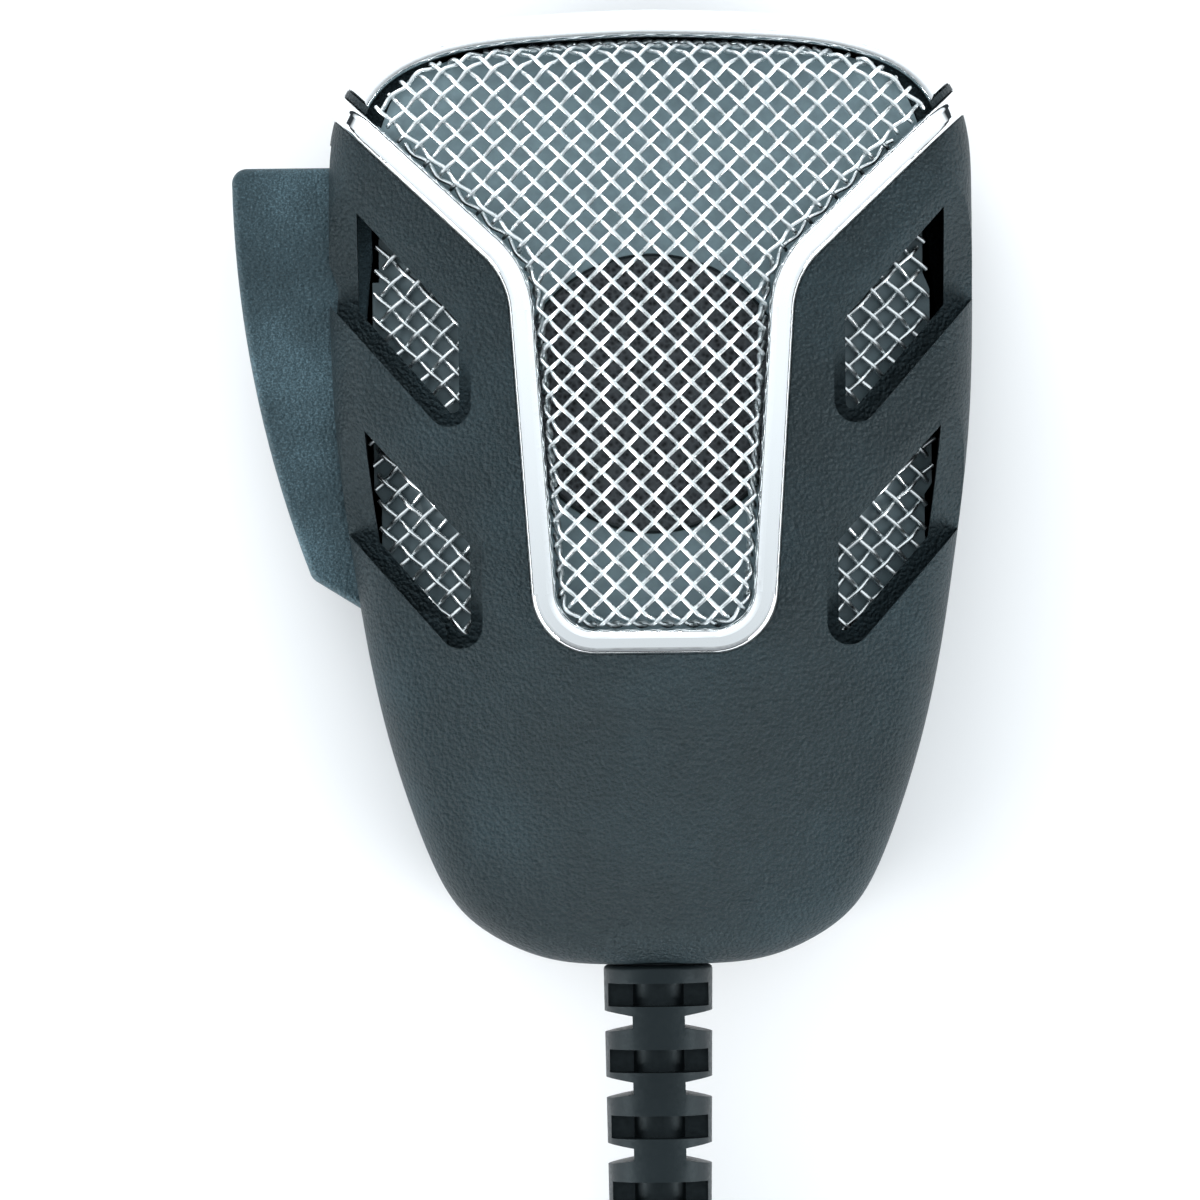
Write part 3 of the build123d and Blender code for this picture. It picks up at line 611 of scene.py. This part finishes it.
def baffle(side, material):
    """Thin plate just behind a side grille, clear of the lever."""
    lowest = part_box("ptt_lever")[1][2] + LEVER_ROOM
    mesh = merged_copy(side + "_mesh")
    for vert in mesh.verts:
        vert.co.z = max(vert.co.z - BAFFLE_DROP, lowest)
    data = bpy.data.meshes.new(side + "_baffle")
    mesh.to_mesh(data)
    mesh.free()
    data.materials.append(material)
    piece = add_object(side + "_baffle", data)
    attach(piece, "body")


# ---------------------------------------------------------------- cord

def route_line(points):
    """Points of the smooth line that a hand-chosen route gives, in metres."""
    curve = nurbs_curve("route", points)
    probe = add_object("route", curve)
    mesh = bpy.data.meshes.new_from_object(probe.evaluated_get(bpy.context.evaluated_depsgraph_get()))
    line = np.array([v.co[:] for v in mesh.vertices])
    bpy.data.objects.remove(probe)
    bpy.data.curves.remove(curve)
    bpy.data.meshes.remove(mesh)
    return line


def nurbs_curve(name, points):
    curve = bpy.data.curves.new(name, "CURVE")
    curve.dimensions = "3D"
    curve.resolution_u = 12
    spline = curve.splines.new("NURBS")
    spline.points.add(len(points) - 1)
    for point, place in zip(spline.points, points):
        point.co = (*place, 1.0)
    spline.order_u = 3
    spline.use_endpoint_u = True
    return curve


def in_frame(route):
    return [(x * MM, y * MM + BODY_MIDDLE_Y, z * MM) for x, y, z in route]


def curl_points(line, cord):
    """Control points of the curls round the middle line, spread where the line bends."""
    step = np.linalg.norm(np.diff(line, axis=0), axis=1)
    walk = np.concatenate([[0], np.cumsum(step)])
    even = np.arange(0, walk[-1], WALK_STEP)
    places = np.column_stack([np.interp(even, walk, line[:, i]) for i in range(3)])
    ways = np.gradient(places, axis=0)
    ways /= np.linalg.norm(ways, axis=1)[:, None]
    bend = np.zeros(len(even))
    turned = np.linalg.norm(ways[2 * BEND_WINDOW:] - ways[:-2 * BEND_WINDOW], axis=1)
    bend[BEND_WINDOW:-BEND_WINDOW] = turned / (2 * BEND_WINDOW * WALK_STEP)
    radius = (cord.curl - cord.diameter) / 2
    to_end = np.minimum(even, even[-1] - even)
    opening = np.clip(1 - to_end / cord.run_in, 0, 1)
    spacing = cord.spacing / (1 - np.minimum(bend, MOST_BEND) * radius)
    spacing = spacing + (cord.run_in - spacing) * opening * opening * (3 - 2 * opening)
    turns = np.concatenate([[0], np.cumsum(WALK_STEP / spacing[:-1])])
    count = int(turns[-1] * POINTS_PER_TURN)
    swell = radius / math.cos(math.pi / POINTS_PER_TURN) * HUG
    points = []
    for i in range(1, count):
        turn = i / POINTS_PER_TURN
        at = np.interp(turn, turns, even)
        place = np.array([np.interp(at, even, places[:, j]) for j in range(3)])
        way = np.array([np.interp(at, even, ways[:, j]) for j in range(3)])
        way /= np.linalg.norm(way)
        side = np.cross(way, (0, 0, 1))
        side /= np.linalg.norm(side)
        up = np.cross(side, way)
        ease = min(1.0, at / cord.run_in, (even[-1] - at) / cord.run_in)
        ease = ease * ease * (3 - 2 * ease)
        angle = 2 * math.pi * turn
        points.append(tuple(place + swell * ease * (math.cos(angle) * side + math.sin(angle) * up)))
    return points


# ---------------------------------------------------------------- pieces

# name, place, size, power in watts
SOFT_LIGHTS = (("left", (-1.0, -0.70, 0.26), (0.8, 0.22), 22.0),
               ("right", (1.0, -0.70, 0.26), (0.8, 0.22), 22.0),
               ("high", (-0.25, 1.0, 0.50), (0.6, 0.25), 7.0))


def soft_light(name, place, aim, size, power):
    light = bpy.data.lights.new(name, "AREA")
    light.shape = "RECTANGLE"
    light.size, light.size_y = size
    light.energy = power
    lamp = add_object(name, light)
    lamp.location = place
    lamp.rotation_euler = (Vector(aim) - Vector(place)).to_track_quat("-Z", "Y").to_euler()
    return lamp


def studio_world(stage):
    """White tent over the floor, with a dark band just above the horizon."""
    world = bpy.data.worlds.new("studio")
    world.use_nodes = True
    nodes, links = world.node_tree.nodes, world.node_tree.links
    place = nodes.new("ShaderNodeTexCoord")
    split = nodes.new("ShaderNodeSeparateXYZ")
    links.new(place.outputs["Generated"], split.inputs[0])
    fade = nodes.new("ShaderNodeMapRange")
    fade.inputs["From Min"].default_value = -0.75
    fade.inputs["From Max"].default_value = 0.15
    fade.inputs["To Min"].default_value = stage.tent_low * stage.tent_light
    fade.inputs["To Max"].default_value = stage.tent_light
    links.new(split.outputs["Y"], fade.inputs["Value"])
    ramp = nodes.new("ShaderNodeValToRGB")
    links.new(split.outputs["Z"], ramp.inputs["Fac"])
    stops = ramp.color_ramp.elements
    stops[0].position = stage.band
    stops[0].color = (0.03, 0.035, 0.04, 1)
    stops[1].position = stage.band + 0.12
    stops[1].color = (*stage.tent_colour, 1)
    background = nodes["Background"]
    links.new(ramp.outputs["Color"], background.inputs["Color"])
    links.new(fade.outputs["Result"], background.inputs["Strength"])
    return world


class MIC_OT_stage(bpy.types.Operator):
    """Camera, floor and studio light."""
    bl_idname = "mic.stage"
    bl_label = "Stage"

    def execute(self, context):
        scene = context.scene
        stage = scene.mic_stage
        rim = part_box("back_shell")[1][2]
        low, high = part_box("front_shell")
        length = high[1] - low[1]
        camera = bpy.data.cameras.new("camera")
        camera.sensor_width = 36.0
        camera.lens = camera.sensor_width * stage.distance / stage.view_width
        camera.clip_end = 20.0
        eye = add_object("camera", camera)
        eye.location = (-5.4 * MM, BODY_MIDDLE_Y - 0.116 * length, rim + stage.distance)
        eye.rotation_euler = (0, 0, stage.turn)
        scene.camera = eye

        mesh = bmesh.new()
        bmesh.ops.create_grid(mesh, x_segments=1, y_segments=1, size=3.0)
        data = bpy.data.meshes.new("floor")
        mesh.to_mesh(data)
        mesh.free()
        paint = Tree("pale floor", stage.floor_colour, 0.9)
        paint.link(paint.range(paint.noise(0.4, 2.0), 0.86, 0.94), "Roughness")
        data.materials.append(paint.material)
        floor = add_object("floor", data)
        floor.location = (0, 0, CAD_BOX[0][2] - 0.1 * MM)

        middle = (0, BODY_MIDDLE_Y, rim)
        for name, place, size, power in SOFT_LIGHTS:
            soft_light(name, place, middle, size, power)
        scene.world = studio_world(stage)
        scene.view_settings.view_transform = "Standard"
        return {"FINISHED"}


class MIC_OT_cord(bpy.types.Operator):
    """Curly cord from the strain relief to the plug."""
    bl_idname = "mic.cord"
    bl_label = "Cord"

    def execute(self, context):
        cord = context.scene.mic_cord
        lead, curl, tail = (in_frame(r) for r in (LEAD_ROUTE, CURL_ROUTE, TAIL_ROUTE))
        helix = curl_points(route_line(curl), cord)
        line = nurbs_curve("curly_cord", lead[:-1] + helix + tail[1:])
        line.bevel_depth = cord.diameter / 2
        line.bevel_resolution = 3
        line.resolution_u = 2
        line.use_fill_caps = True
        line.materials.append(soft_rubber("cord rubber", context.scene.mic_plastic.rubber_colour))
        piece = add_object("curly_cord", line)
        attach(piece, "body")
        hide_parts("cord_lead", "cord_curl", "cord_tail")
        return {"FINISHED"}


class MIC_OT_shells(bpy.types.Operator):
    """Both moulded halves of the housing."""
    bl_idname = "mic.shells"
    bl_label = "Shells"

    def execute(self, context):
        plastic = context.scene.mic_plastic
        grained = grained_plastic("grained plastic", plastic.shell_colour, plastic.grain, 0.22 * MM)
        # The eased edges of the front shell take a much lighter, glossier copy of the shell plastic: a painted
        # highlight along the edges.
        edges = smooth_plastic("edge highlight plastic", tint(plastic.shell_colour, 2.6), 0.26)
        smooth_skin("front_shell", grained, bevel=0.30 * MM, edge_material=edges)
        dress("back_shell", grained)
        return {"FINISHED"}


class MIC_OT_trim(bpy.types.Operator):
    """Bright trim round the grille and over the crown."""
    bl_idname = "mic.trim"
    bl_label = "Chrome Trim"

    def execute(self, context):
        chrome = polished_chrome("polished chrome")
        for node in ("grille_trim", "top_trim"):
            dress(node, chrome)
        return {"FINISHED"}


class MIC_OT_grilles(bpy.types.Operator):
    """Woven wire behind the louvres and in the middle."""
    bl_idname = "mic.grilles"
    bl_label = "Woven Grilles"

    def execute(self, context):
        wire = context.scene.mic_wire
        tree, sockets = wire_tree()
        finish = metal("drawn wire", (0.88, 0.92, 0.93), 0.30)
        # The baffles take a darker copy of the carrier colour: painted shade on the plate seen through the side
        # grilles.
        shaded_backing = smooth_plastic("shaded baffle plastic", tint(context.scene.mic_plastic.carrier_colour, 0.45), 0.6)
        woven_piece("centre_mesh", "centre_wires", wire, rim_bends, finish, tree, sockets)
        for side in ("left", "right"):
            woven_piece(side + "_mesh", side + "_wires", wire, even_bends, finish, tree, sockets)
            baffle(side, shaded_backing)
        return {"FINISHED"}


class MIC_OT_inside(bpy.types.Operator):
    """Carrier, cartridge, board and fastenings inside the housing."""
    bl_idname = "mic.inside"
    bl_label = "Inside"

    def execute(self, context):
        plastic = context.scene.mic_plastic
        carrier = smooth_plastic("carrier plastic", plastic.carrier_colour, 0.5)
        steel = metal("bright steel", (0.62, 0.63, 0.64), 0.28)
        dark_steel = metal("blackened steel", (0.10, 0.10, 0.11), 0.38)
        finishes = {
            "carrier": carrier,
            "element": smooth_plastic("cartridge plastic", (0.035, 0.045, 0.05), 0.45),
            "steel": steel,
            "dark_steel": dark_steel,
            "stud": metal("plated stud", (0.66, 0.66, 0.65), 0.18),
            "foam": open_foam("open foam", (0.05, 0.055, 0.06)),
            "brass": metal("brass", (0.78, 0.58, 0.28), 0.25),
            "board": solder_mask("solder mask", (0.02, 0.16, 0.07)),
            "components": smooth_plastic("component resin", (0.09, 0.07, 0.05), 0.35, 0.5 * MM),
            "wires": smooth_plastic("wire sleeving", (0.45, 0.05, 0.04), 0.4, 0.5 * MM),
            "insulator": smooth_plastic("plug insulator", (0.03, 0.03, 0.032), 0.35),
            "plug_metal": metal("plated plug", (0.70, 0.71, 0.72), 0.22),
            "cord": soft_rubber("cable jacket", plastic.rubber_colour),
        }
        for part in frame["record"]["subparts"]:
            if part["material_slot"] in finishes:
                dress(part["node"], finishes[part["material_slot"]])
        rubber = soft_rubber("moulded rubber", plastic.rubber_colour)
        for part in frame["record"]["subparts"]:
            if part["material_slot"] == "rubber":
                smooth_skin(part["node"], rubber, bevel=0.25 * MM)
        return {"FINISHED"}


class MIC_OT_lever(bpy.types.Operator):
    """Push-to-talk lever and the spring that returns it."""
    bl_idname = "mic.lever"
    bl_label = "Push-to-talk Lever"

    def execute(self, context):
        plastic = context.scene.mic_plastic
        face = grained_plastic("lever plastic", plastic.lever_colour, plastic.grain, 0.12 * MM)
        # The eased edges of the lever take a darker copy of the lever plastic: painted shade along the edges.
        edges = smooth_plastic("lever edge shade plastic", tint(plastic.lever_colour, 0.4), 0.4)
        smooth_skin("ptt_lever", face, bevel=0.5 * MM, edge_material=edges)
        spring = smooth_skin("ptt_spring", bpy.data.materials["bright steel"])
        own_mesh(spring)
        return {"FINISHED"}


OPERATORS = (MIC_OT_stage, MIC_OT_cord, MIC_OT_shells, MIC_OT_trim, MIC_OT_grilles, MIC_OT_inside, MIC_OT_lever)


class MIC_PT_panel(bpy.types.Panel):
    """Sizes, colours and pieces of the microphone."""
    bl_label = "Hand Microphone"
    bl_idname = "MIC_PT_panel"
    bl_space_type = "VIEW_3D"
    bl_region_type = "UI"
    bl_category = "Microphone"

    def draw(self, context):
        for name, settings in SETTINGS:
            column = self.layout.column(heading=settings.__doc__)
            for value in settings.__annotations__:
                column.prop(getattr(context.scene, name), value)
        for operator in OPERATORS:
            self.layout.operator(operator.bl_idname)


def register():
    for name, settings in SETTINGS:
        bpy.utils.register_class(settings)
        setattr(bpy.types.Scene, name, bpy.props.PointerProperty(type=settings))
    for item in (*OPERATORS, MIC_PT_panel):
        bpy.utils.register_class(item)


def unregister():
    for item in reversed((*OPERATORS, MIC_PT_panel)):
        bpy.utils.unregister_class(item)
    for name, settings in reversed(SETTINGS):
        delattr(bpy.types.Scene, name)
        bpy.utils.unregister_class(settings)


def main():
    register()
    for operator in OPERATORS:
        group, name = operator.bl_idname.split(".")
        getattr(getattr(bpy.ops, group), name)()


if __name__ == "__main__":
    main()
